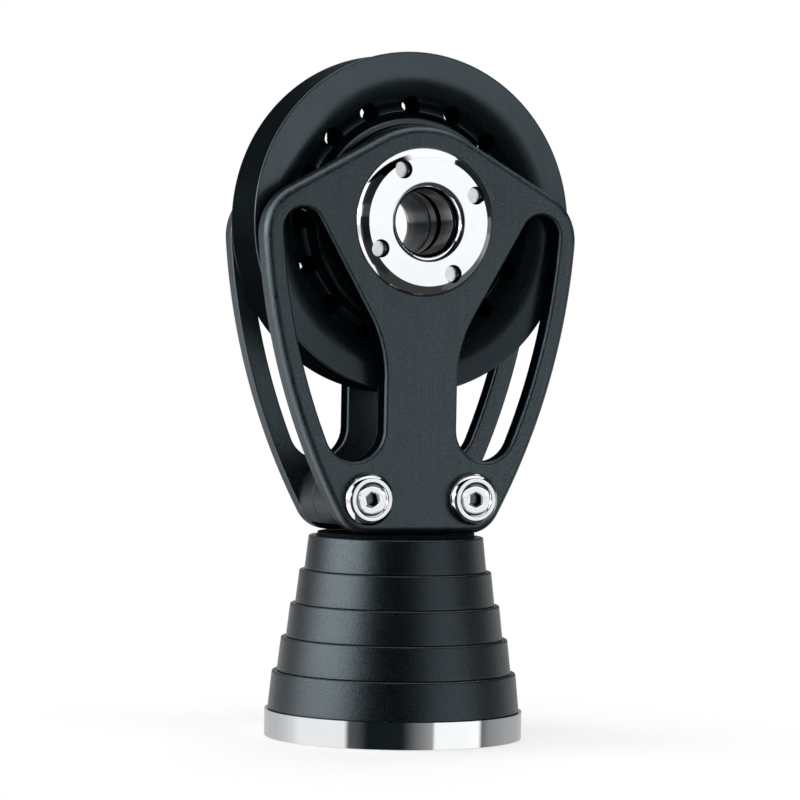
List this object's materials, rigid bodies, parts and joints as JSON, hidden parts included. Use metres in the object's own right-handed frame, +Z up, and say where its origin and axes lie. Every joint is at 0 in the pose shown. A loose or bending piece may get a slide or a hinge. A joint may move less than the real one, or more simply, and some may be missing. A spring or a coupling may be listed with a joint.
{
  "type": "stand-up block",
  "caption": "Sprung stand-up deck block: a roller-bearing sheave between two open cheeks on a swivel head that tilts inside a stepped rubber boot on a round base.",
  "frame": {"origin": "centre of the base's flat underside, where it meets the deck", "axes": "+Z up from the deck along the upright block, Y along the sheave's axle, X in the sheave's plane"},
  "size_m": [0.125, 0.095, 0.2515],
  "materials": {
    "polished_base": "mirror-polished stainless steel",
    "polished_steel": "bright polished stainless steel",
    "steel": "machined stainless steel",
    "race": "ground and hardened bearing steel",
    "acetal": "black acetal",
    "rubber": "matte moulded black rubber with a fine grain",
    "black_cheek": "bead-blasted, black hard-anodised aluminium",
    "black_head": "black hard-anodised aluminium",
    "black_post": "black hard-anodised",
    "black_sheave": "satin, black hard-anodised aluminium"
  },
  "bodies": {
    "base": {"base_plate": "polished_base", "lower_pin": "steel", "lower_pin_clips": "steel", "lower_spring_seat": "acetal", "spring": "steel", "boot": "rubber"},
    "toggle": {"toggle_link": "steel"},
    "post": {"swivel_post": "black_post", "upper_pin": "steel", "upper_pin_clips": "steel", "upper_spring_seat": "acetal", "thrust_washer": "acetal", "stem_collar": "steel"},
    "head": {"near_head": "black_head", "far_head": "black_head", "head_bushes": "steel", "near_cheek": "black_cheek", "far_cheek": "black_cheek", "near_cup_washers": "polished_steel", "far_cup_washers": "polished_steel", "near_screws": "polished_steel", "far_screws": "polished_steel", "near_hub_cap": "polished_steel", "far_hub_cap": "polished_steel", "inner_race": "race", "near_race_washer": "race", "far_race_washer": "race"},
    "sheave": {"sheave": "black_sheave"},
    "roller_set": {"roller_cage": "acetal", "rollers": "race"},
    "near_ball_set": {"near_ball_ring": "acetal", "near_balls": "race"},
    "far_ball_set": {"far_ball_ring": "acetal", "far_balls": "race"}
  },
  "joints": [
    {"name": "tilt_side", "type": "hinge", "parent": "base", "child": "toggle", "pos_m": [0, 0, 0.027], "axis": [1, 0, 0], "range_deg": [-30, 30], "stiffness_Nm_per_rad": 12, "deforming": ["boot", "spring"]},
    {"name": "tilt_fore_aft", "type": "hinge", "parent": "toggle", "child": "post", "pos_m": [0, 0, 0.046], "axis": [0, 1, 0], "range_deg": [-30, 30], "stiffness_Nm_per_rad": 12},
    {"name": "swivel", "type": "hinge", "parent": "post", "child": "head", "pos_m": [0, 0, 0.0885], "axis": [0, 0, 1], "continuous": true},
    {"name": "sheave_spin", "type": "hinge", "parent": "head", "child": "sheave", "pos_m": [0, 0, 0.189], "axis": [0, 1, 0], "continuous": true},
    {"name": "roller_orbit", "type": "hinge", "parent": "head", "child": "roller_set", "pos_m": [0, 0, 0.189], "axis": [0, 1, 0], "continuous": true},
    {"name": "near_ball_orbit", "type": "hinge", "parent": "head", "child": "near_ball_set", "pos_m": [0, 0, 0.189], "axis": [0, 1, 0], "continuous": true},
    {"name": "far_ball_orbit", "type": "hinge", "parent": "head", "child": "far_ball_set", "pos_m": [0, 0, 0.189], "axis": [0, 1, 0], "continuous": true}
  ],
  "couplings": [
    {"joint": "roller_orbit", "follows": "sheave_spin", "ratio": 0.5489},
    {"joint": "near_ball_orbit", "follows": "sheave_spin", "ratio": 0.5},
    {"joint": "far_ball_orbit", "follows": "sheave_spin", "ratio": 0.5}
  ]
}
